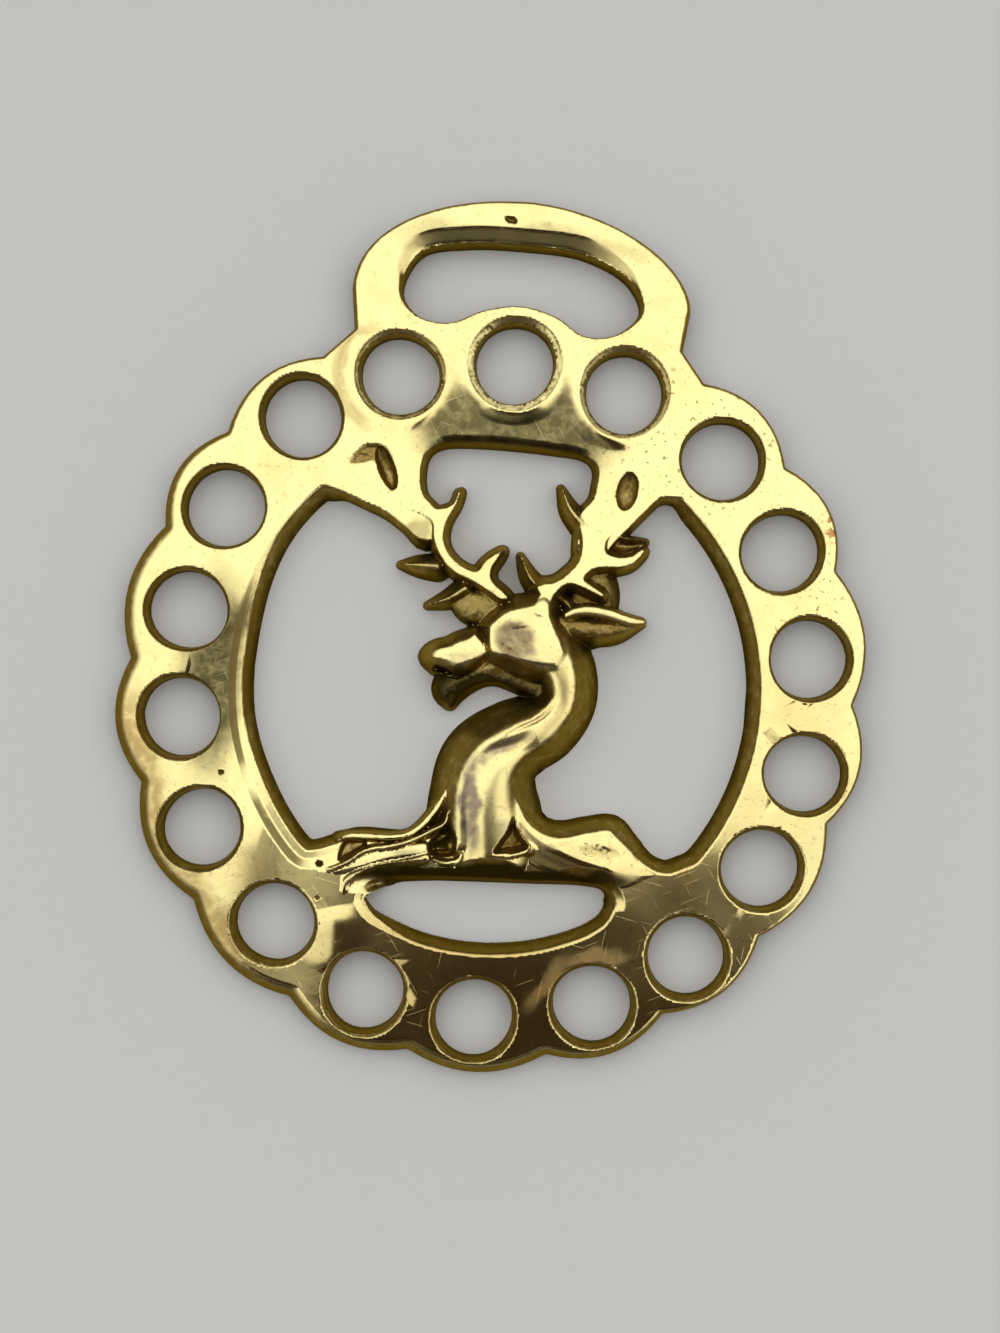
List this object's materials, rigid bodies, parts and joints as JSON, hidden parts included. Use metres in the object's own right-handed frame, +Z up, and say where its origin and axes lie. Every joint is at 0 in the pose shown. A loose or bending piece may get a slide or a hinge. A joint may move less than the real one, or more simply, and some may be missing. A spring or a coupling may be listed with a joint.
{
  "type": "horse brass",
  "caption": "Cast brass harness ornament: a scalloped ring pierced with round holes, a strap loop on top, and a stag's head and neck in relief inside the ring.",
  "frame": {"origin": "middle of the underside of the casting's box, on the surface that the flat back lies on", "axes": "+Z up out of the polished face, +Y along the brass towards the strap loop, +X to the viewer's right when the face is seen upright"},
  "size_m": [0.0754, 0.0878, 0.0057],
  "materials": {
    "brass": "cast brass, face polished and worn, recesses and walls left rough and brown"
  },
  "bodies": {
    "root": {"brass_casting": "brass"}
  },
  "joints": []
}
